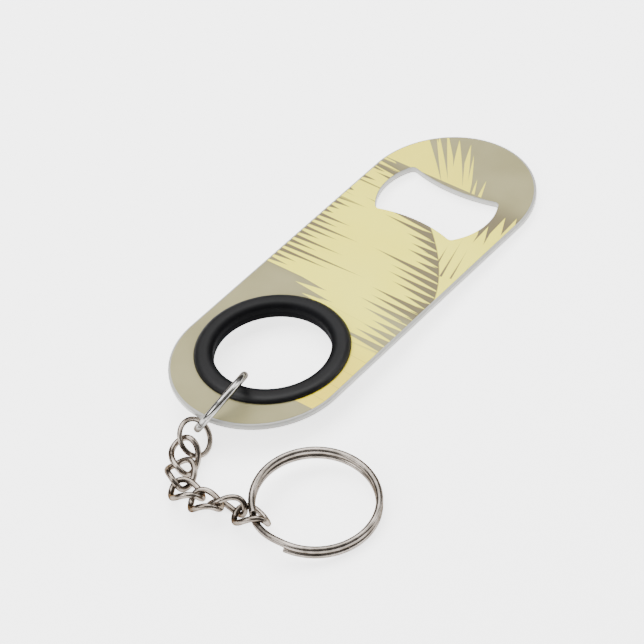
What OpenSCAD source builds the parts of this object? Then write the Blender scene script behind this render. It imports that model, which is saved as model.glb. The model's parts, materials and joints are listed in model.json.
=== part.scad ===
// Keychain bottle opener: a flat coated steel plate with a soft ring in its
// finger hole, and a chain with a split ring that hangs on a bail ring.
// Millimetres. The origin is the centre of the finger hole at half the
// plate's thickness. +X runs along the plate to its tip, +Z out of its front.

/* [Plate] */
// Length of the plate
plate_length = 105; // [90:1:140]
// Width of the plate, and the diameter of its round ends
plate_width = 40; // [39:1:50]
// Thickness of the plate
plate_thickness = 1.5; // [1.2:0.1:1.8]
// Radius that rounds the plate's outer edges
edge_radius = 0.4; // [0.1:0.1:0.5]
// Thickness of the printed film on the front
film_thickness = 0.08; // [0.05:0.01:0.1]
// Bare margin between the film and any edge
film_margin = 0.15; // [0.1:0.05:1]

/* [Finger hole] */
// Distance from the heel end to the centre of the finger hole
heel_to_hole = 23.7; // [23:0.1:23.8]
// Clear diameter inside the soft ring
finger_bore = 25.4; // [24.8:0.1:27]
// Diameter of the hole cut in the plate for the soft ring
seat_diameter = 29; // [28:0.1:31]
// Outer diameter of the soft ring's lips
lip_diameter = 33.8; // [33:0.1:36]
// Height of each lip above its face
lip_height = 1.3; // [1.3:0.1:1.5]
// Rounding of a lip's outer edge
lip_outer_round = 1.2; // [0.3:0.1:1.2]
// Rounding of a lip's inner edge
lip_inner_round = 1.1; // [0.3:0.1:1.2]

/* [Cap opening] */
// Distance from the finger hole's centre to the cap opening's centre
hole_to_cap = 57.6; // [56:0.1:62]
// Radius of the opening's round ends, which clear a crown cap
cap_end_radius = 12.75; // [12:0.05:13.5]
// Length of the straight part that sets the two round ends apart
cap_end_offset = 2.3; // [1:0.1:4]
// Distance from the opening's centre to the crest of the rear edge
rear_reach = 7.3; // [6:0.1:9]
// Radius of the bowed rear edge
rear_bow = 34; // [25:1:60]
// Distance from the opening's centre to the crest of the lifting edge
lift_reach = 5.3; // [4.5:0.1:7]
// Radius of the bowed lifting edge
lift_bow = 42; // [25:1:60]
// Radius in the opening's four corners
corner_radius = 1.2; // [0.6:0.1:2]

/* [Bail and small ring] */
// Wire diameter of the bail ring
bail_wire = 1.7; // [1.4:0.1:1.8]
// Inside diameter of the bail ring
bail_inside = 13.1; // [13:0.1:14]
// Lean of the bail ring's plane off upright
bail_lean = 34; // [29:1:42]
// Turn of the bail ring off the plate's long axis
bail_turn = 7; // [0:1:12]
// Wire diameter of the small ring
small_wire = 1.1; // [0.8:0.1:1.2]
// Inside diameter of the small ring
small_inside = 6.8; // [6.6:0.1:7.2]

/* [Chain] */
// Wire diameter of a chain link
link_wire = 1.3; // [1.1:0.1:1.3]
// Outside length of a link
link_length = 9.3; // [9.2:0.1:9.5]
// Outside width of a link
link_width = 6.9; // [6.7:0.1:7.2]
// Twist between a link's two ends
link_twist = 85; // [79:1:92]

/* [Split ring] */
// Wire diameter of the split ring
split_wire = 1.5; // [1.2:0.1:1.6]
// Inside diameter of the split ring
split_inside = 24.5; // [24.2:0.1:24.7]
// Angle over which the wire crosses from one coil to the other
split_step_angle = 44; // [44:1:52]

/* [Hidden] */
$fn = 64;
// Clearance between the two coils of the split ring
coil_clearance = 0.03;
// Gap left where a bent wire ring closes
ring_gap = 0.25;
// Overlap that makes joined shapes one solid
join = 0.01;
// Exponent that makes a link fuller than an ellipse
link_fullness = 0.88;
// Corners round a swept wire, and rings along a link and the split ring
wire_sides = 10;
link_rings = 36;
split_rings = 132;

// Where the loose pieces lie: centre, then heading, dip and roll in degrees
bail_place = [[-18.1, -0.9, 0.4], [bail_turn, 0, bail_lean - 90]];
small_place = [[-26.6, -0.35, -3.32], [-135, 38, -40]];
link_places = [
    [[-31.4, -1.6, -4.1], [-140, 26, 165]],
    [[-35.3, -3.7, -4.7], [-148, -4, -18]],
    [[-38.8, -8.3, -4.6], [-94, -11, 169]],
    [[-39.5, -14.0, -3.9], [-99, -15, 176]],
    [[-37.03, -18.14, -4.41], [-75.8, -12.1, 114.2]],
    [[-37.05, -24.32, -4.37], [-87.9, -10.6, -19.8]]
];
split_place = [[-26.85, -33.14, -3.62], [0.9, -1.4, 7.4]];
// Angle on the split ring at which its wire changes coils
split_step_at = 166;

// Sizes worked out from those above
end_radius = plate_width / 2;
plate_start = -heel_to_hole + end_radius;
plate_end = plate_length - heel_to_hole - end_radius;
half_plate = plate_thickness / 2;
film_top = half_plate + film_thickness;
bail_radius = (bail_inside + bail_wire) / 2;
small_radius = (small_inside + small_wire) / 2;
split_radius = (split_inside + split_wire) / 2;
coil_rise = split_wire + coil_clearance;
link_reach = (link_length - link_wire) / 2;
link_half = (link_width - link_wire) / 2;

// ---- Vectors and curves ----

function unit(v) = v / norm(v);

// Point where a circle of radius a about p meets one of radius b about q,
// on the left of the way from p to q
function meet(p, a, q, b) =
    let (
        d = norm(q - p),
        along = (a * a - b * b + d * d) / (2 * d),
        up = sqrt(a * a - along * along),
        e = unit(q - p)
    )
    p + e * along + [-e[1], e[0]] * up;

// A signed power, which fills out the corners of an ellipse
function full(v) = sign(v) * pow(abs(v), link_fullness);

// Centre line of a link at angle t: an oval, twisted along its length
function link_point(t) =
    let (
        x = link_reach * full(cos(t)),
        w = link_half * full(sin(t)),
        turn = -link_twist / 2 * x / link_reach
    )
    [x, w * cos(turn), w * sin(turn)];

// Direction square to the twisted oval at angle t
function link_face(t) =
    let (turn = -link_twist / 2 * full(cos(t)))
    [0, -sin(turn), cos(turn)];

// Share of the way from the lower coil to the upper one, t degrees on
function coil_share(t) =
    let (s = min(1, max(0, (t - 360) / split_step_angle + 0.5)))
    s * s * (3 - 2 * s);

// Centre line of the split ring's wire, t degrees round from the step
function split_point(t) = [
    split_radius * cos(t + split_step_at),
    split_radius * sin(t + split_step_at),
    coil_rise * (coil_share(t) - 0.5)
];

// ---- Swept wire ----

// Corners of one ring of a swept wire
function wire_ring(p, along, face, r) =
    let (
        side = unit(cross(face, along)),
        up = cross(along, side)
    )
    [for (i = [0:wire_sides - 1])
        let (a = 360 * i / wire_sides)
        p + r * (cos(a) * side + sin(a) * up)];

// Faces between two rings that follow each other
function band(a, b) = [
    for (i = [0:wire_sides - 1])
        let (j = (i + 1) % wire_sides)
        for (f = [
            [a * wire_sides + i, a * wire_sides + j, b * wire_sides + j],
            [a * wire_sides + i, b * wire_sides + j, b * wire_sides + i]
        ]) f
];

// Wire along a closed loop of points, each with its facing direction
module closed_wire(points, faces, r) {
    n = len(points);
    polyhedron(
        [for (i = [0:n - 1])
            let (along = unit(points[(i + 1) % n] - points[(i + n - 1) % n]))
            each wire_ring(points[i], along, faces[i], r)],
        [for (i = [0:n - 1]) each band(i, (i + 1) % n)]
    );
}

// Wire along an open run of points, with flat ends
module open_wire(points, face, r) {
    n = len(points);
    polyhedron(
        [for (i = [0:n - 1])
            let (along = unit(points[min(i + 1, n - 1)] - points[max(i - 1, 0)]))
            each wire_ring(points[i], along, face, r)],
        concat(
            [for (i = [0:n - 2]) each band(i, i + 1)],
            [[for (i = [0:wire_sides - 1]) wire_sides - 1 - i]],
            [[for (i = [0:wire_sides - 1]) (n - 1) * wire_sides + i]]
        )
    );
}

// A bent wire ring in its own XY plane, open by a small gap facing +X
module wire_loop(radius, wire) {
    gap = asin(ring_gap / 2 / radius);
    rotate([0, 0, gap])
        rotate_extrude(angle = 360 - 2 * gap)
            translate([radius, 0])
                circle(d = wire);
}

// Puts a piece at its centre with its heading, dip and roll
module lay(place) {
    translate(place[0])
        rotate([0, 0, place[1][0]])
            rotate([0, place[1][1], 0])
                rotate([place[1][2], 0, 0])
                    children();
}

// ---- Plate ----

// A cross-section of the plate from its middle line out to half_width
module edge_profile(half_width) {
    flat = half_width - edge_radius;
    translate([0, -half_plate])
        square([flat, plate_thickness]);
    translate([0, -half_plate + edge_radius])
        square([half_width, plate_thickness - 2 * edge_radius]);
    for (side = [-1, 1])
        translate([flat, side * (half_plate - edge_radius)])
            circle(r = edge_radius);
}

// Solid plate with round ends and rounded edges, without its openings
module plate_blank() {
    for (end = [[plate_start, 90], [plate_end, -90]])
        translate([end[0], 0, 0])
            rotate([0, 0, end[1]])
                rotate_extrude(angle = 180)
                    edge_profile(end_radius);
    for (side = [-1, 1])
        translate([plate_start, 0, 0])
            rotate([0, 0, 90])
                rotate([90, 0, 0])
                    linear_extrude(plate_end - plate_start)
                        mirror([(side + 1) / 2, 0])
                            edge_profile(end_radius);
}

// Cap opening before its corners are rounded, grown by m
module cap_outline(m = 0) {
    difference() {
        union() {
            for (side = [-1, 1])
                translate([0, side * cap_end_offset / 2])
                    circle(r = cap_end_radius + m);
            square([2 * (cap_end_radius + m), cap_end_offset], center = true);
        }
        translate([-rear_reach - rear_bow, 0])
            circle(r = rear_bow - m);
        translate([lift_reach + lift_bow, 0])
            circle(r = lift_bow - m);
    }
}

module circle_at(p, r) {
    translate(p)
        circle(r = r);
}

// What a corner's rounding leaves in place, between the round end and a
// bowed edge whose circle has radius bow about [bow_at, 0]
module corner_fill(bow_at, bow, m) {
    end_at = [0, cap_end_offset / 2];
    round_to = corner_radius + m + join;
    inner = cap_end_radius - corner_radius;
    outer = bow + corner_radius;
    centre = bow_at < 0
        ? meet([bow_at, 0], outer, end_at, inner)
        : meet(end_at, inner, [bow_at, 0], outer);
    on_end = centre + unit(centre - end_at) * round_to;
    on_bow = centre + unit([bow_at, 0] - centre) * round_to;
    beyond = centre + 1.6 * ((on_end - centre) + (on_bow - centre));
    difference() {
        polygon([centre, on_end, beyond, on_bow]);
        circle_at(centre, round_to);
    }
}

// Cap opening with rounded corners, grown by m
module cap_opening(m = 0) {
    difference() {
        cap_outline(m);
        for (side = [0, 1])
            mirror([0, side]) {
                corner_fill(-rear_reach - rear_bow, rear_bow, m);
                corner_fill(lift_reach + lift_bow, lift_bow, m);
            }
    }
}

module blade() {
    color("gainsboro")
        difference() {
            plate_blank();
            cylinder(d = seat_diameter, h = 2 * plate_thickness, center = true);
            translate([hole_to_cap, 0, -plate_thickness])
                linear_extrude(2 * plate_thickness)
                    cap_opening();
        }
}

module front_print() {
    film_radius = end_radius - edge_radius - film_margin;
    color("darkkhaki")
        translate([0, 0, half_plate])
            linear_extrude(film_thickness)
                difference() {
                    union() {
                        translate([plate_start, 0])
                            circle(r = film_radius);
                        translate([plate_end, 0])
                            circle(r = film_radius);
                        translate([plate_start, -film_radius])
                            square([plate_end - plate_start, 2 * film_radius]);
                    }
                    circle(d = seat_diameter + 2 * film_margin);
                    translate([hole_to_cap, 0])
                        cap_opening(film_margin);
                }
}

// ---- Soft ring in the finger hole ----

// Profile of one lip, above the height base
module lip_profile(base) {
    bore = finger_bore / 2;
    rim = lip_diameter / 2;
    top = half_plate + lip_height;
    polygon([
        [bore, base],
        [rim, base],
        [rim, top - lip_outer_round],
        [rim - lip_outer_round, top],
        [bore + lip_inner_round, top],
        [bore, top - lip_inner_round]
    ]);
    intersection() {
        translate([bore, base])
            square([rim - bore, top - base]);
        union() {
            translate([rim - lip_outer_round, top - lip_outer_round])
                circle(r = lip_outer_round);
            translate([bore + lip_inner_round, top - lip_inner_round])
                circle(r = lip_inner_round);
        }
    }
}

module finger_grommet() {
    color("dimgray")
        rotate_extrude() {
            lip_profile(film_top);
            mirror([0, 1])
                lip_profile(half_plate);
            translate([finger_bore / 2, -half_plate - join])
                square([(seat_diameter - finger_bore) / 2, plate_thickness + film_thickness + 2 * join]);
        }
}

// ---- Rings and chain ----

module bail_ring() {
    color("silver")
        lay(bail_place)
            wire_loop(bail_radius, bail_wire);
}

module small_ring() {
    color("silver")
        lay(small_place)
            wire_loop(small_radius, small_wire);
}

module chain_link(index) {
    steps = [for (i = [0:link_rings - 1]) 360 * i / link_rings];
    color("rosybrown")
        lay(link_places[index - 1])
            closed_wire(
                [for (t = steps) link_point(t)],
                [for (t = steps) link_face(t)],
                link_wire / 2
            );
}

module split_ring() {
    start = split_step_angle / 2 + asin(ring_gap / split_radius);
    finish = 720 - start;
    color("silver")
        lay(split_place)
            open_wire(
                [for (i = [0:split_rings]) split_point(start + (finish - start) * i / split_rings)],
                [0, 0, 1],
                split_wire / 2
            );
}

blade();
front_print();
finger_grommet();
bail_ring();
small_ring();
chain_link(1);  // chain_link_1
chain_link(2);  // chain_link_2
chain_link(3);  // chain_link_3
chain_link(4);  // chain_link_4
chain_link(5);  // chain_link_5
chain_link(6);  // chain_link_6
split_ring();
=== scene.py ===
import json
import math

import bmesh
import bpy
import numpy as np
from mathutils import Matrix, Vector
from mathutils.geometry import delaunay_2d_cdt


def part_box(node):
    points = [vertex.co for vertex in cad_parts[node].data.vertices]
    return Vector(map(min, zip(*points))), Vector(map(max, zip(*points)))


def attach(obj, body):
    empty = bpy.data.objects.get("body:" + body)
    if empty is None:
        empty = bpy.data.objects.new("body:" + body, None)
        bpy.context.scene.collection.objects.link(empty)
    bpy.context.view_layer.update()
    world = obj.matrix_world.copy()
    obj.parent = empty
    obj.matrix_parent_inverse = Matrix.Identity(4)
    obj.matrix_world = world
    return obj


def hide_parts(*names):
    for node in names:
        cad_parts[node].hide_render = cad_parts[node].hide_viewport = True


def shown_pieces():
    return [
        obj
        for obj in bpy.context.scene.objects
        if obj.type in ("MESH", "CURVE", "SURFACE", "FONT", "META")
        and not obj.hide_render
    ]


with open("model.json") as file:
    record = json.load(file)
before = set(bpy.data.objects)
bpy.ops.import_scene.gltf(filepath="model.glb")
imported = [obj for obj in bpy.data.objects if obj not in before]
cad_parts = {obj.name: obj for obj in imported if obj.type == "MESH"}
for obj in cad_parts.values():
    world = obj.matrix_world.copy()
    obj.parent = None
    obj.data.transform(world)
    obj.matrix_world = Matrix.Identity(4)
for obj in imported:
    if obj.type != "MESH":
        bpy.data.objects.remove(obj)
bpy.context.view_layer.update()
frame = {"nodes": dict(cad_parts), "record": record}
MM = 0.001
nodes = frame["nodes"]
record = frame["record"]
mounts = {m["name"]: m for m in record["mounts"]}
body_of = {n: b for b, members in record["behaviour"]["bodies"].items() for n in members}


# ---- Node material helpers ----

def linear(r, g, b):
    out = []
    for c in (r, g, b):
        c = c / 255
        out.append(c / 12.92 if c <= 0.04045 else ((c + 0.055) / 1.055) ** 2.4)
    return (*out, 1.0)


class Value:
    """A number in a node tree. Arithmetic on it adds Math nodes."""

    def __init__(self, tree, socket):
        self.tree = tree
        self.socket = socket

    def math(self, operation, *others, clamp=False):
        node = self.tree.nodes.new("ShaderNodeMath")
        node.operation = operation
        node.use_clamp = clamp
        self.tree.links.new(self.socket, node.inputs[0])
        for i, other in enumerate(others):
            if isinstance(other, Value):
                self.tree.links.new(other.socket, node.inputs[i + 1])
            else:
                node.inputs[i + 1].default_value = other
        return Value(self.tree, node.outputs[0])

    def __add__(self, o):
        return self.math("ADD", o)

    __radd__ = __add__

    def __sub__(self, o):
        return self.math("SUBTRACT", o)

    def __rsub__(self, o):
        return self.math("MULTIPLY", -1.0).math("ADD", o)

    def __mul__(self, o):
        return self.math("MULTIPLY", o)

    __rmul__ = __mul__

    def __truediv__(self, o):
        return self.math("DIVIDE", o)

    def below(self, o, softness=0.06):
        """1 where this is under o, 0 where it is over, with a soft edge."""
        gap = (o - self) if isinstance(o, Value) else (self * -1.0 + o)
        return (gap * (1 / softness)).math("ADD", 0.5, clamp=True)

    def smooth(self, start, end):
        t = ((self - start) * (1 / (end - start))).math("ADD", 0.0, clamp=True)
        return t * t * (3.0 - 2.0 * t)


def both(a, b):
    return a * b


def either(a, b):
    return a.math("MAXIMUM", b)


def without(a):
    return 1.0 - a


def new_material(name):
    material = bpy.data.materials.new(name)
    material.use_nodes = True
    tree = material.node_tree
    shader = tree.nodes["Principled BSDF"]
    coords = tree.nodes.new("ShaderNodeTexCoord")
    return material, tree, shader, coords.outputs["Object"]


def noise(tree, vector, scale, detail=4.0, roughness=0.5, stretch=None):
    if stretch:
        mapping = tree.nodes.new("ShaderNodeMapping")
        mapping.inputs["Scale"].default_value = stretch
        tree.links.new(vector, mapping.inputs["Vector"])
        vector = mapping.outputs[0]
    node = tree.nodes.new("ShaderNodeTexNoise")
    node.inputs["Scale"].default_value = scale
    node.inputs["Detail"].default_value = detail
    node.inputs["Roughness"].default_value = roughness
    tree.links.new(vector, node.inputs["Vector"])
    return Value(tree, node.outputs[0])


def mix(tree, factor, a, b):
    """Blend of two colours, each a constant or a socket."""
    node = tree.nodes.new("ShaderNodeMix")
    node.data_type = "RGBA"
    for index, item in ((6, a), (7, b)):
        if isinstance(item, tuple):
            node.inputs[index].default_value = item
        else:
            tree.links.new(item, node.inputs[index])
    if isinstance(factor, Value):
        tree.links.new(factor.socket, node.inputs[0])
    else:
        node.inputs[0].default_value = factor
    return node.outputs[2]


def bump(tree, shader, height, strength, distance):
    node = tree.nodes.new("ShaderNodeBump")
    node.inputs["Strength"].default_value = strength
    node.inputs["Distance"].default_value = distance
    tree.links.new(height.socket, node.inputs["Height"])
    tree.links.new(node.outputs[0], shader.inputs["Normal"])


def metal(name, bright, dark, rough, scratch=0.12):
    """Plated wire: a warm tint that wanders, worn patches and fine drawing marks."""
    material, tree, shader, at = new_material(name)
    cloud = noise(tree, at, 260.0, 5.0, 0.6)
    grain = noise(tree, at, 1500.0, 3.0, 0.6, (1.0, 1.0, 0.35))
    tint = mix(tree, cloud.smooth(0.35, 0.68), dark, bright)
    tree.links.new(tint, shader.inputs["Base Color"])
    shader.inputs["Metallic"].default_value = 1.0
    shader.inputs["Specular Tint"].default_value = (0.22, 0.20, 0.18, 1.0)
    worn = (grain - 0.5) * 0.10 + cloud * 0.10 + (rough - 0.05)
    tree.links.new(worn.socket, shader.inputs["Roughness"])
    bump(tree, shader, grain, scratch, 0.00002)
    return material


def coat_material():
    material, tree, shader, at = new_material("white_coat")
    cloud = noise(tree, at, 45.0, 4.0, 0.55)
    peel = noise(tree, at, 2200.0, 2.0, 0.5)
    tint = mix(tree, cloud.smooth(0.3, 0.7), linear(150, 149, 144), linear(162, 161, 156))
    tree.links.new(tint, shader.inputs["Base Color"])
    rough = cloud * 0.12 + 0.30
    tree.links.new(rough.socket, shader.inputs["Roughness"])
    bump(tree, shader, peel, 0.10, 0.00002)
    return material


def pvc_material():
    material, tree, shader, at = new_material("soft_black_pvc")
    cloud = noise(tree, at, 120.0, 4.0, 0.6)
    grain = noise(tree, at, 2600.0, 3.0, 0.6)
    tint = mix(tree, cloud.smooth(0.3, 0.75), linear(8, 8, 9), linear(15, 15, 17))
    tree.links.new(tint, shader.inputs["Base Color"])
    # the bore is duller than the lips
    split = tree.nodes.new("ShaderNodeSeparateXYZ")
    tree.links.new(at, split.inputs[0])
    x, y = Value(tree, split.outputs[0]) * 1000.0, Value(tree, split.outputs[1]) * 1000.0
    lip = (x * x + y * y).math("SQRT").smooth(12.9, 14.4)
    rough = cloud * 0.14 + grain * 0.06 + 0.62 - lip * 0.28
    tree.links.new((lip * 0.15 + 0.02).socket, shader.inputs["Specular IOR Level"])
    tree.links.new(rough.socket, shader.inputs["Roughness"])
    bump(tree, shader, grain, 0.12, 0.00003)
    return material


def print_material(centre_x):
    """Pale feathered fronds over khaki: combs of thin wedges with random lengths."""
    material, tree, shader, at = new_material("frond_print")
    split = tree.nodes.new("ShaderNodeSeparateXYZ")
    tree.links.new(at, split.inputs[0])
    x = Value(tree, split.outputs[0]) * 1000.0 - centre_x * 1000.0
    y = Value(tree, split.outputs[1]) * 1000.0

    def cells(along, width, seed):
        """Distance from a cell's middle, 0 to 1, and a random number for the cell."""
        t = along * (1 / width) + seed
        f = (t.math("FRACT") - 0.5).math("ABSOLUTE") * 2.0
        white = tree.nodes.new("ShaderNodeTexWhiteNoise")
        white.noise_dimensions = "1D"
        tree.links.new(t.math("FLOOR").socket, white.inputs["W"])
        return f, Value(tree, white.outputs["Value"])

    def wedges(along, depth, width, seed, shortest, longest, base, power=1.0):
        """Wedges that start base wide at depth 0 and run to random lengths."""
        f, chance = cells(along, width, seed)
        length = chance.math("POWER", power) * (longest - shortest) + shortest
        return f.below((1.0 - depth / length) * base, 0.12)

    # Rib that runs across the plate, bowed a little
    u = (x - 0.9).math("MAXIMUM", 0.0)
    rib = u * 0.57 - 20.0 + u * (u - 9.8) * 0.021
    above_rib = rib.below(y, 0.08)

    # Upper body: combs from the two long edges
    lean = x + y * 0.035
    fall = (19.6 - y) * (1.0 + x.smooth(8.0, 12.0) * 1.3)
    top = wedges(lean, fall, 1.75, 43.6, 2.5, 23.0, 0.62, 1.1)
    top = both(top, without(both((19.0 - x).below(0.0, 2.0), wedges(x, y * 0.0, 5.0, 7.7, 1.0, 2.0, 0.6))))
    bottom = wedges(x - y * 0.05, y - rib, 2.0, 33.1, 4.5, 19.0, 0.86, 0.9)
    fine = wedges(x + y * 0.02, y - rib, 0.95, 11.2, 0.8, 6.0, 0.5, 1.5)
    bottom = both(either(bottom, fine), (x * -1.0).below(17.5, 1.0))
    left = (x + 7.2).below(0.0, 0.08)
    slope = (x + 38.0) * 0.84 - 13.5
    f, chance = cells(x + y * 0.02, 2.3, 63.4)
    depth = (x + 31.0).smooth(0.0, 16.0)
    under_slope = (y + f * depth * 9.0).below(slope - chance * depth * 3.0, 0.1)
    tail = both(left, without(under_slope))
    heel = x.below(-38.2, 0.08)
    body = both(without(either(top, bottom)), without(either(tail, heel)))

    # Lower body: barbs that leave the rib on its other side
    ca, sa = math.cos(math.radians(15)), math.sin(math.radians(15))
    run = (x - 2.0) * ca + (y + 20.0) * sa
    across = (y + 20.0) * ca - (x - 2.0) * sa
    f, chance = cells(across, 2.5, 5.2)
    reach = chance * 5.0 + 26.5
    barbs = (run + f * 6.0).below(reach, 0.15)
    slit = wedges(across - 0.6, run - chance * 9.0 - 4.0, 2.3, 31.9, 4.0, 11.0, 0.2)
    lower = both(barbs, without(both(slit, (8.0 - run).below(0.0, 0.2))))

    # Tip: barbs that fan out past the cap opening
    dx = x - 16.0
    dy = y + 15.0
    radius = (dx * dx + dy * dy).math("SQRT")
    turn = dy.math("ARCTAN2", dx) * 57.2958
    f, chance = cells(turn, 4.6, 12.7)
    limit = turn.smooth(16.0, 50.0) * 36.0 + 18.0 + chance * (turn.smooth(14.0, 28.0) * 9.0 + 1.0)
    fan = (radius + f * 13.0).below(limit, 0.2)
    f, chance = cells(turn, 3.3, 51.1)
    nick = f.below((radius - 25.0 - chance * 16.0) * 0.045, 0.1)
    nick = both(nick, without((turn - 57.0).math("ABSOLUTE").below(11.0, 1.0)))
    fan = both(fan, without(nick))

    past = (35.2 - x).below(0.0, 0.08)
    field = both(above_rib, body) + both(without(above_rib), lower)
    leaf = both(without(past), field) + both(past, fan)
    rib_line = both((y - rib).math("ABSOLUTE").below(0.17, 0.1), (x - 21.0).below(0.0, 0.5))
    rib_line = both(rib_line, (0.5 - x).below(0.0, 0.5))
    seam = cells(x - y * 0.05, 4.6, 2.4)[0].math("SUBTRACT", 0.955, clamp=True) * 22.0
    seam = both(seam, (x + 11.0).below(0.0, 4.0))

    cloud = noise(tree, at, 60.0, 3.0, 0.5)
    khaki = mix(tree, cloud.smooth(0.3, 0.7), KHAKI_A, KHAKI_B)
    wedge = mix(tree, (x + 9.0).smooth(0.0, 6.0), khaki, WEDGE)
    wedge = mix(tree, (x - 30.0).smooth(0.0, 8.0), wedge, khaki)
    deep = without((x + 30.0).smooth(0.0, 20.0))
    yellow = mix(tree, cloud.smooth(0.25, 0.75), YELLOW_A, YELLOW_B)
    yellow = mix(tree, deep * 0.8, yellow, YELLOW_DEEP)
    shade = (x * 0.02 + 0.5).smooth(0.8, 1.3)
    yellow = mix(tree, shade * 0.55, yellow, YELLOW_TIP)
    yellow = mix(tree, either(rib_line * 0.6, seam * 0.5), yellow, WEDGE)
    colour = mix(tree, leaf, wedge, yellow)
    tree.links.new(colour, shader.inputs["Base Color"])
    rough = cloud * 0.10 + 0.34
    tree.links.new(rough.socket, shader.inputs["Roughness"])
    shader.inputs["Specular IOR Level"].default_value = 0.22
    bump(tree, shader, noise(tree, at, 1800.0, 2.0, 0.5), 0.06, 0.00002)
    return material


KHAKI_A = linear(137, 131, 93)
KHAKI_B = linear(149, 143, 105)
WEDGE = linear(106, 97, 71)
YELLOW_A = linear(251, 241, 74)
YELLOW_B = linear(253, 245, 88)
YELLOW_DEEP = linear(232, 205, 48)
YELLOW_TIP = linear(230, 214, 76)


# ---- Mesh helpers ----

def make_object(name, verts, faces, material, node, smooth=True):
    mesh = bpy.data.meshes.new(name)
    mesh.from_pydata([tuple(v) for v in verts], [], faces)
    mesh.validate()
    mesh.materials.append(material)
    for p in mesh.polygons:
        p.use_smooth = smooth
    mesh.update()
    obj = bpy.data.objects.new(name, mesh)
    bpy.context.scene.collection.objects.link(obj)
    if node:
        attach(obj, body_of[node])
        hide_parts(node)
    return obj


def unit(v):
    v = np.asarray(v, float)
    return v / np.linalg.norm(v)


def face_outward(obj):
    bm = bmesh.new()
    bm.from_mesh(obj.data)
    bmesh.ops.recalc_face_normals(bm, faces=bm.faces)
    bm.to_mesh(obj.data)
    bm.free()
    return obj


def tube(name, points, facing, radii, material, node, closed, sides=28):
    """Round wire along points. facing is a direction kept square to the wire."""
    points = np.asarray(points, float)
    n = len(points)
    verts, faces = [], []
    if closed:
        along = np.roll(points, -1, 0) - np.roll(points, 1, 0)
    else:
        along = np.gradient(points, axis=0)
    rings = []
    for i in range(n):
        t = unit(along[i])
        side = unit(np.cross(facing[i], t))
        up = np.cross(t, side)
        ring = [points[i] + radii[i] * (math.cos(a) * side + math.sin(a) * up)
                for a in np.linspace(0, 2 * math.pi, sides, endpoint=False)]
        rings.append((ring, t, side, up))
    if not closed:
        # round the edges of the two cut ends
        for end, sign in ((0, -1), (n - 1, 1)):
            p, (ring, t, side, up) = points[end], rings[end]
            extra = []
            edge = radii[end] * 0.16
            for k in (1, 2, 3, 4):
                a = math.pi / 2 * k / 4
                r = radii[end] * (1 - 0.45 * (1 - math.cos(a)))
                c = p + sign * t * edge * math.sin(a)
                extra.append(([c + r * (math.cos(b) * side + math.sin(b) * up)
                               for b in np.linspace(0, 2 * math.pi, sides, endpoint=False)], t, side, up))
            c = p + sign * t * edge
            r = radii[end] * 0.4
            extra.append(([c + r * (math.cos(b) * side + math.sin(b) * up)
                           for b in np.linspace(0, 2 * math.pi, sides, endpoint=False)], t, side, up))
            rings = list(reversed(extra)) + rings if end == 0 else rings + extra
    for ring, *_ in rings:
        verts += ring
    m = len(rings)
    for i in range(m if closed else m - 1):
        j = (i + 1) % m
        for k in range(sides):
            q = (k + 1) % sides
            faces.append((i * sides + k, i * sides + q, j * sides + q, j * sides + k))
    if not closed:
        faces.append(tuple(reversed(range(sides))))
        faces.append(tuple((m - 1) * sides + k for k in range(sides)))
    return make_object(name, verts, faces, material, node)


def own_frame(node):
    """Centre and principal directions of a CAD node, longest first, right-handed."""
    co = np.array([v.co for v in nodes[node].data.vertices], float)
    co = np.unique(np.round(co, 7), axis=0)
    centre = co.mean(0)
    values, vectors = np.linalg.eigh(np.cov((co - centre).T))
    order = np.argsort(values)[::-1]
    axes = vectors[:, order]
    if np.linalg.det(axes) < 0:
        axes[:, 2] *= -1
    return co, centre, axes


def ring_frame(node):
    """Points, centre, axes, mean radius and wire radius of a ring-shaped node."""
    co, centre, axes = own_frame(node)
    local = (co - centre) @ axes
    a = np.c_[2 * local[:, :2], np.ones(len(local))]
    b = (local[:, :2] ** 2).sum(1)
    sol = np.linalg.lstsq(a, b, rcond=None)[0]
    middle = (local[:, 2].max() + local[:, 2].min()) / 2
    centre = centre + axes @ np.array([sol[0], sol[1], middle])
    local = (co - centre) @ axes
    radii = np.hypot(local[:, 0], local[:, 1])
    return co, centre, axes, (radii.max() + radii.min()) / 2, (radii.max() - radii.min()) / 2


# ---- Plate, film and soft ring ----

def arc(centre, radius, start, end, step, inward):
    """Points and outward-into-the-plate directions along an arc, in millimetres."""
    count = max(2, int(abs(end - start) * radius / step) + 1)
    out = []
    for i in range(count):
        a = start + (end - start) * i / count
        d = np.array([math.cos(a), math.sin(a)])
        out.append((np.array(centre) + radius * d, -d if inward else d))
    return out


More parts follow.
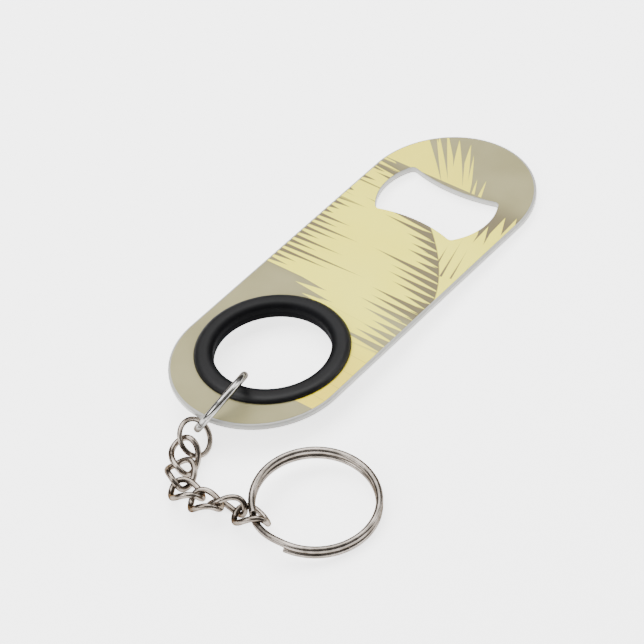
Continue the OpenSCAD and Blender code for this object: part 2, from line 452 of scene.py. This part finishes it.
def cap_outline():
    """Cap opening, anticlockwise from its lifting edge, about its own centre."""
    end_r = mounts["cap_opening"]["dims"]["r_mm"]
    offset, corner = 2.3 / 2, 1.2
    rear, rear_r, lift, lift_r = 7.3, 34.0, 5.3, 42.0
    end = np.array([0.0, offset])

    def meet(p, a, q, b):
        d = np.linalg.norm(q - p)
        s = (a * a - b * b + d * d) / (2 * d)
        e = (q - p) / d
        return p + e * s + np.array([-e[1], e[0]]) * math.sqrt(a * a - s * s)

    lift_c, rear_c = np.array([lift + lift_r, 0.0]), np.array([-rear - rear_r, 0.0])
    right = meet(end, end_r - corner, lift_c, lift_r + corner)
    left = meet(rear_c, rear_r + corner, end, end_r - corner)

    def angle(v):
        return math.atan2(v[1], v[0])

    half = []
    a_bow = angle(right - lift_c)
    half += arc(lift_c, lift_r, math.pi, a_bow, 0.4, True)
    start, stop = angle(lift_c - right), angle(right - end)
    half += arc(right, corner, start, stop, 0.08, False)
    half += arc(end, end_r, stop, angle(left - end), 0.3, False)
    start, stop = angle(left - end), angle(rear_c - left)
    if stop < start:
        stop += 2 * math.pi
    half += arc(left, corner, start, stop, 0.08, False)
    half += arc(rear_c, rear_r, angle(left - rear_c), 0.0, 0.4, True)
    points = list(half)
    points.append((np.array([-rear, 0.0]), np.array([-1.0, 0.0])))
    for p, d in reversed(half[1:]):
        points.append((p * [1, -1], d * [1, -1]))
    return points


def inside(point, polygon):
    x, y = point
    px, py = polygon[:, 0], polygon[:, 1]
    qx, qy = np.roll(px, -1), np.roll(py, -1)
    cross = (py > y) != (qy > y)
    with np.errstate(divide="ignore", invalid="ignore"):
        at = (qx - px) * (y - py) / (qy - py) + px
    return bool(np.count_nonzero(cross & (x < at)) % 2)


def sheet_solid(name, outlines, top, bottom, rounds, material, node):
    """Flat solid between two heights. outlines are (points, directions), the first one
    the outer edge; rounds gives each one's (inset, edge radius)."""
    verts, faces, flat = [], [], []
    inner_top, inner_bottom = [], []
    for (points, dirs), (inset, r) in zip(outlines, rounds):
        profile = []
        steps = 6
        profile.append((inset + r + 0.12, top))
        for k in range(steps + 1):
            a = math.pi / 2 * k / steps
            profile.append((inset + r - r * math.sin(a), top - r + r * math.cos(a)))
        for k in range(steps + 1):
            a = math.pi / 2 * k / steps
            profile.append((inset + r - r * math.cos(a), bottom + r - r * math.sin(a)))
        profile.append((inset + r + 0.12, bottom))
        base = len(verts)
        n = len(points)
        for d, z in profile:
            ring = points + dirs * d
            verts += [(p[0], p[1], z) for p in ring]
        for k in range(len(profile) - 1):
            for i in range(n):
                j = (i + 1) % n
                this, next_one = base + k * n, base + (k + 1) * n
                faces.append((this + i, this + j, next_one + j, next_one + i))
        inner_top.append((base, n))
        inner_bottom.append((base + (len(profile) - 1) * n, n))
    for groups, flip in ((inner_top, False), (inner_bottom, True)):
        index, edges, polygons = [], [], []
        for start, n in groups:
            o = len(index)
            index += range(start, start + n)
            edges += [(o + i, o + (i + 1) % n) for i in range(n)]
            polygons.append(np.array([verts[start + i][:2] for i in range(n)]))
        flatverts = [Vector(verts[i][:2]) for i in index]
        out = delaunay_2d_cdt(flatverts, edges, [], 0, 1e-7)
        for tri in out[2]:
            centre = np.mean([out[0][i] for i in tri], axis=0)
            if not inside(centre, polygons[0]) or any(inside(centre, p) for p in polygons[1:]):
                continue
            ids = [index[out[3][i][0]] for i in tri]
            a, b, c = (np.array(verts[i][:2]) for i in ids[:3])
            ccw = np.cross(b - a, c - a) > 0
            if ccw == flip:
                ids.reverse()
            faces.append(tuple(ids))
    return face_outward(make_object(name, np.array(verts) * MM, faces, material, node))


blade_low, blade_high = (np.array(v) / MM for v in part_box("blade"))
film_low, film_high = (np.array(v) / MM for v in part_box("front_print"))
soft_low, soft_high = (np.array(v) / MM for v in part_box("finger_grommet"))
width = blade_high[1] - blade_low[1]
end_r = width / 2
heel_x, tip_x = blade_low[0] + end_r, blade_high[0] - end_r
cap_x = mounts["cap_opening"]["pos_m"][0] / MM
bore_r = mounts["finger_hole"]["dims"]["r_mm"]
seat_r = 14.5

outer = arc((tip_x, 0), end_r, -math.pi / 2, math.pi / 2, 0.25, True)
straight = int((tip_x - heel_x) / 0.5)
outer += [(np.array([tip_x + (heel_x - tip_x) * i / straight, end_r]), np.array([0.0, -1.0]))
          for i in range(straight)]
outer += arc((heel_x, 0), end_r, math.pi / 2, 3 * math.pi / 2, 0.25, True)
outer += [(np.array([heel_x + (tip_x - heel_x) * i / straight, -end_r]), np.array([0.0, 1.0]))
          for i in range(straight)]
hole = arc((0, 0), seat_r, 0, 2 * math.pi, 0.25, False)
cap = [(p + [cap_x, 0], d) for p, d in cap_outline()]


def split_pairs(pairs):
    return np.array([p for p, _ in pairs]), np.array([d for _, d in pairs])


outlines = [split_pairs(outer), split_pairs(hole), split_pairs(cap)]
coat = coat_material()
sheet_solid("blade_plate", outlines, blade_high[2], blade_low[2],
            [(0, 0.4), (0, 0.12), (0, 0.16)], coat, "blade")
sheet_solid("printed_film", outlines, film_high[2], film_low[2],
            [(0.55, 0.035), (0.15, 0.03), (0.15, 0.035)],
            print_material((blade_low[0] + blade_high[0]) / 2 * MM), "front_print")


def soft_ring():
    """The soft ring's profile, turned round the finger hole."""
    rim, top, bottom = soft_high[0], soft_high[2], soft_low[2]
    face, back = film_high[2], blade_low[2]
    profile = []

    def curve(cx, cz, rx, rz, start, end, count=9):
        for k in range(count + 1):
            a = math.radians(start + (end - start) * k / count)
            profile.append((cx + rx * math.cos(a), cz + rz * math.sin(a)))

    # underside of the front lip, its outer bead, crown and inner edge
    profile.append((seat_r - 0.02, face))
    profile.append((rim - 0.35, face))
    curve(rim - 0.3, face + 0.3, 0.3, 0.3, -80, 0, 5)
    curve(rim - 1.5, top - 1.12, 1.5, 1.12, 6, 88, 12)
    curve(bore_r + 1.35, top - 0.95, 1.35, 0.91, 92, 180, 12)
    # bore wall with a faint parting bead
    profile.append((bore_r, 0.25))
    profile.append((bore_r + 0.05, 0.06))
    profile.append((bore_r + 0.05, -0.06))
    profile.append((bore_r, -0.25))
    curve(bore_r + 1.35, bottom + 0.95, 1.35, 0.91, 180, 268, 12)
    curve(rim - 1.5, bottom + 1.12, 1.5, 1.12, -88, -6, 12)
    curve(rim - 0.3, back - 0.3, 0.3, 0.3, 0, 80, 5)
    profile.append((rim - 0.35, back))
    profile.append((seat_r - 0.02, back))
    count = 288
    verts, faces = [], []
    for i in range(count):
        a = 2 * math.pi * i / count
        for r, z in profile:
            verts.append((r * math.cos(a) * MM, r * math.sin(a) * MM, z * MM))
    m = len(profile)
    for i in range(count):
        j = (i + 1) % count
        for k in range(m):
            q = (k + 1) % m
            faces.append((i * m + k, j * m + k, j * m + q, i * m + q))
    return face_outward(make_object("soft_ring", verts, faces, pvc_material(), "finger_grommet"))


soft_ring()

# ---- Rings and chain ----

chrome = metal("bright_chrome", linear(178, 177, 175), linear(132, 130, 127), 0.20, 0.05)
nickel = metal("warm_nickel", linear(148, 139, 130), linear(102, 94, 86), 0.25, 0.10)
steel = metal("split_ring_steel", linear(146, 138, 131), linear(104, 98, 91), 0.25, 0.10)


def wire_ring(name, node, material, gap):
    co, centre, axes, radius, wire = ring_frame(node)
    local = (co - centre) @ axes
    angles = np.sort(np.arctan2(local[:, 1], local[:, 0]))
    # the cut shows as the place where both its end faces crowd together
    spread = np.histogram(angles, 720, (-math.pi, math.pi))[0].astype(float)
    crowded = np.argmax(spread + np.roll(spread, 1) + np.roll(spread, -1))
    start = (crowded + 0.5) / 720 * 2 * math.pi - math.pi
    half = gap * MM / 2 / radius
    turn = np.linspace(start + half, start + 2 * math.pi - half, 240)
    points = (centre + np.outer(np.cos(turn), axes[:, 0]) * radius
              + np.outer(np.sin(turn), axes[:, 1]) * radius)
    facing = [axes[:, 2]] * len(turn)
    return tube(name, points, facing, [wire] * len(turn), material, node, False, 36)


wire_ring("bail_ring_wire", "bail_ring", chrome, 0.22)
wire_ring("small_ring_wire", "small_ring", nickel, 0.20)


def chain_link(name, node):
    """A twisted oval, a little fuller than an ellipse."""
    centre, axes = own_frame(node)[1:]
    reach = 4.0 * MM
    half = 2.8 * MM
    wire = 0.65 * MM
    twist = math.radians(85)
    t = np.linspace(0, 2 * math.pi, 160, endpoint=False)
    power = 0.88

    def full(v):
        return np.sign(v) * np.abs(v) ** power

    x = reach * full(np.cos(t))
    w = half * full(np.sin(t))
    turn = -twist / 2 * x / reach
    points = centre + np.c_[x, w * np.cos(turn), w * np.sin(turn)] @ axes.T
    face = np.c_[0 * x, -np.sin(turn), np.cos(turn)] @ axes.T
    # a soldered seam half way along one side
    seam = 1.0 - 0.07 * np.exp(-(((t - math.pi / 2) / 0.022) ** 2))
    return tube(name, points, face, wire * seam, nickel, node, True, 28)


for i in range(1, 7):
    chain_link(f"chain_link_{i}_wire", f"chain_link_{i}")


def split_ring():
    """One wire wound twice, which steps from one coil to the other."""
    co = own_frame("split_ring")[0]
    centre = np.array(mounts["key_ring"]["pos_m"])
    normal = unit(mounts["key_ring"]["axis"])
    wire = 0.75 * MM
    radius = 13.0 * MM
    ux = unit(np.cross([0, 1.0, 0], normal))
    uy = np.cross(normal, ux)
    offset = co.mean(0) - centre
    away = math.atan2(offset @ uy, offset @ ux)
    step_at = away + math.pi
    step = math.radians(44.0)
    rise = 1.53 * MM
    begin = step / 2 + math.asin(0.25 / 13)
    t = np.linspace(begin, 4 * math.pi - begin, 720)
    share = np.clip((t - 2 * math.pi) / step + 0.5, 0, 1)
    share = share * share * (3 - 2 * share)
    points = (centre + np.outer(np.cos(t + step_at), ux) * radius
              + np.outer(np.sin(t + step_at), uy) * radius
              + np.outer(rise * (share - 0.5), normal))
    return tube("split_ring_coils", points, [normal] * len(t), [wire] * len(t), steel,
                "split_ring", False, 32)


split_ring()

# ---- Floor, lights and camera ----

def rectangle(wide, tall):
    x, y = wide / 2, tall / 2
    return [(-x, -y, 0), (x, -y, 0), (x, y, 0), (-x, y, 0)]


# The part rests on its tip and its rings, so the surface under it slopes along X
slope = 0.0583
bpy.context.view_layer.update()
lowest = 1.0
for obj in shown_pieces():
    co = np.array([obj.matrix_world @ v.co for v in obj.data.vertices], float)
    lowest = min(lowest, float((co[:, 2] - slope * co[:, 0]).min()))

floor_material, tree, shader, at = new_material("studio_floor")
cloud = noise(tree, at, 3.0, 2.0, 0.5)
tree.links.new(mix(tree, cloud, linear(240, 240, 240), linear(243, 243, 243)), shader.inputs["Base Color"])
shader.inputs["Roughness"].default_value = 0.9
shader.inputs["Specular IOR Level"].default_value = 0.1
shader.inputs["Emission Color"].default_value = (1.0, 1.0, 1.0, 1.0)
shader.inputs["Emission Strength"].default_value = 2.6
half = 2.2
floor = make_object("studio_floor", rectangle(2 * half, 2 * half), [(0, 1, 2, 3)], floor_material, None)
floor.rotation_euler = (0, -math.atan(slope), 0)
floor.location = (0, 0, lowest)


def card(name, at_point, to_point, wide, tall, colour):
    """A big matte card that darkens what the metals mirror."""
    material, tree, shader, coords = new_material(name + "_matte")
    cloud = noise(tree, coords, 2.0, 2.0, 0.5)
    darker = tuple(c * 0.8 for c in colour[:3]) + (1.0,)
    tree.links.new(mix(tree, cloud, darker, colour), shader.inputs["Base Color"])
    shader.inputs["Roughness"].default_value = 0.95
    obj = make_object(name, rectangle(wide, tall), [(0, 1, 2, 3)], material, None)
    obj.location = at_point
    obj.rotation_euler = (Vector(to_point) - Vector(at_point)).to_track_quat("Z", "Y").to_euler()
    return obj


def area(name, at_point, to_point, wide, tall, power, colour=(1, 1, 1)):
    data = bpy.data.lights.new(name, "AREA")
    data.shape = "RECTANGLE"
    data.size = wide
    data.size_y = tall
    data.energy = power
    data.color = colour
    obj = bpy.data.objects.new(name, data)
    bpy.context.scene.collection.objects.link(obj)
    obj.location = at_point
    obj.rotation_euler = (Vector(to_point) - Vector(at_point)).to_track_quat("-Z", "Y").to_euler()
    return obj


target = (0.02, 0.0, 0.0)
area("overhead", (0.1, 0.25, 1.0), target, 1.3, 1.0, 26)
area("left_box", (-0.9, 0.35, 0.55), target, 0.6, 0.6, 8)
area("right_box", (0.75, -0.55, 0.6), target, 0.4, 0.8, 5.5)
card("dark_card_front", (-0.75, -0.75, 0.28), (0, 0, 0), 0.9, 0.5, linear(40, 34, 30))
card("dark_card_back", (0.75, 0.85, 0.22), (0, 0, 0), 1.1, 0.4, linear(60, 54, 50))

world = bpy.data.worlds.new("studio")
world.use_nodes = True
sky = world.node_tree
background = sky.nodes["Background"]
direction = sky.nodes.new("ShaderNodeTexCoord")
parts = sky.nodes.new("ShaderNodeSeparateXYZ")
sky.links.new(direction.outputs["Generated"], parts.inputs[0])
height = Value(sky, parts.outputs[2])
shade = mix(sky, height.smooth(0.22, 0.62), (0.10, 0.09, 0.085, 1.0), (1.0, 1.0, 1.0, 1.0))
sky.links.new(shade, background.inputs["Color"])
background.inputs["Strength"].default_value = 0.42
bpy.context.scene.world = world

camera_data = bpy.data.cameras.new("camera")
camera_data.sensor_width = 36.0
camera_data.lens = 170.18
camera_data.clip_start = 0.01
camera = bpy.data.objects.new("camera", camera_data)
bpy.context.scene.collection.objects.link(camera)
# Where the camera stands, which way it faces and how far it rolls
camera_at = Vector((-0.33618, -0.33989, 0.43684))
azimuth, elevation, roll = (math.radians(a) for a in (-46.0274, 41.9822, -7.4087))
turned = Matrix.Rotation(azimuth, 4, "Z") @ Matrix.Rotation(math.pi / 2 - elevation, 4, "X")
camera.matrix_world = Matrix.Translation(camera_at) @ turned @ Matrix.Rotation(roll, 4, "Z")
bpy.context.scene.camera = camera
